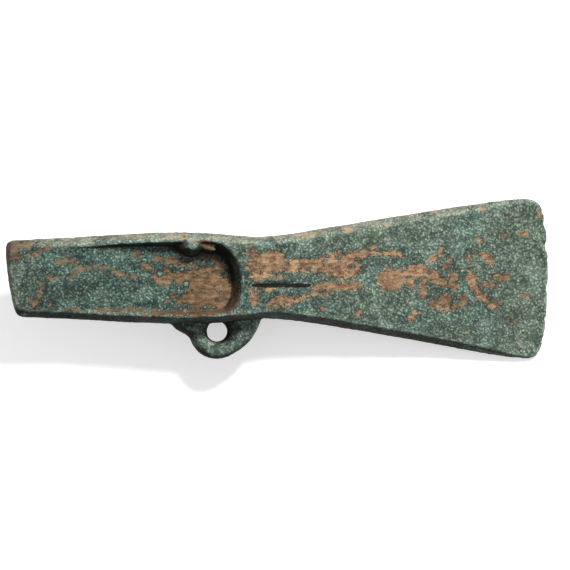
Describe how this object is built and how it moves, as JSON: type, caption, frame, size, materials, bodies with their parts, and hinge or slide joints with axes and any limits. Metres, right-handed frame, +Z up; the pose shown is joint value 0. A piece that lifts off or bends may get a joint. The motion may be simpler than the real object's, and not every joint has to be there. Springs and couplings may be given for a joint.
{
  "type": "looped palstave axe head",
  "caption": "Cast bronze palstave with a flared blade, a stop ridge, flanged recesses for a split haft and a side loop, under a granular green patina.",
  "frame": {"origin": "on the surface that the axe lies on, under the middle of its bounding box", "axes": "+X along the axe from the butt to the cutting edge, +Y across to the plain side, away from the loop, +Z up; the axe lies on its lower flanges and cutting edge, so its own long axis slopes down to +X by 7.3 degrees"},
  "size_m": [0.162, 0.0482, 0.0245],
  "materials": {
    "patinated_bronze": "matt granular green patina over tan-brown bronze that shows bare in patches"
  },
  "bodies": {
    "root": {"axe_head": "patinated_bronze"}
  },
  "joints": []
}
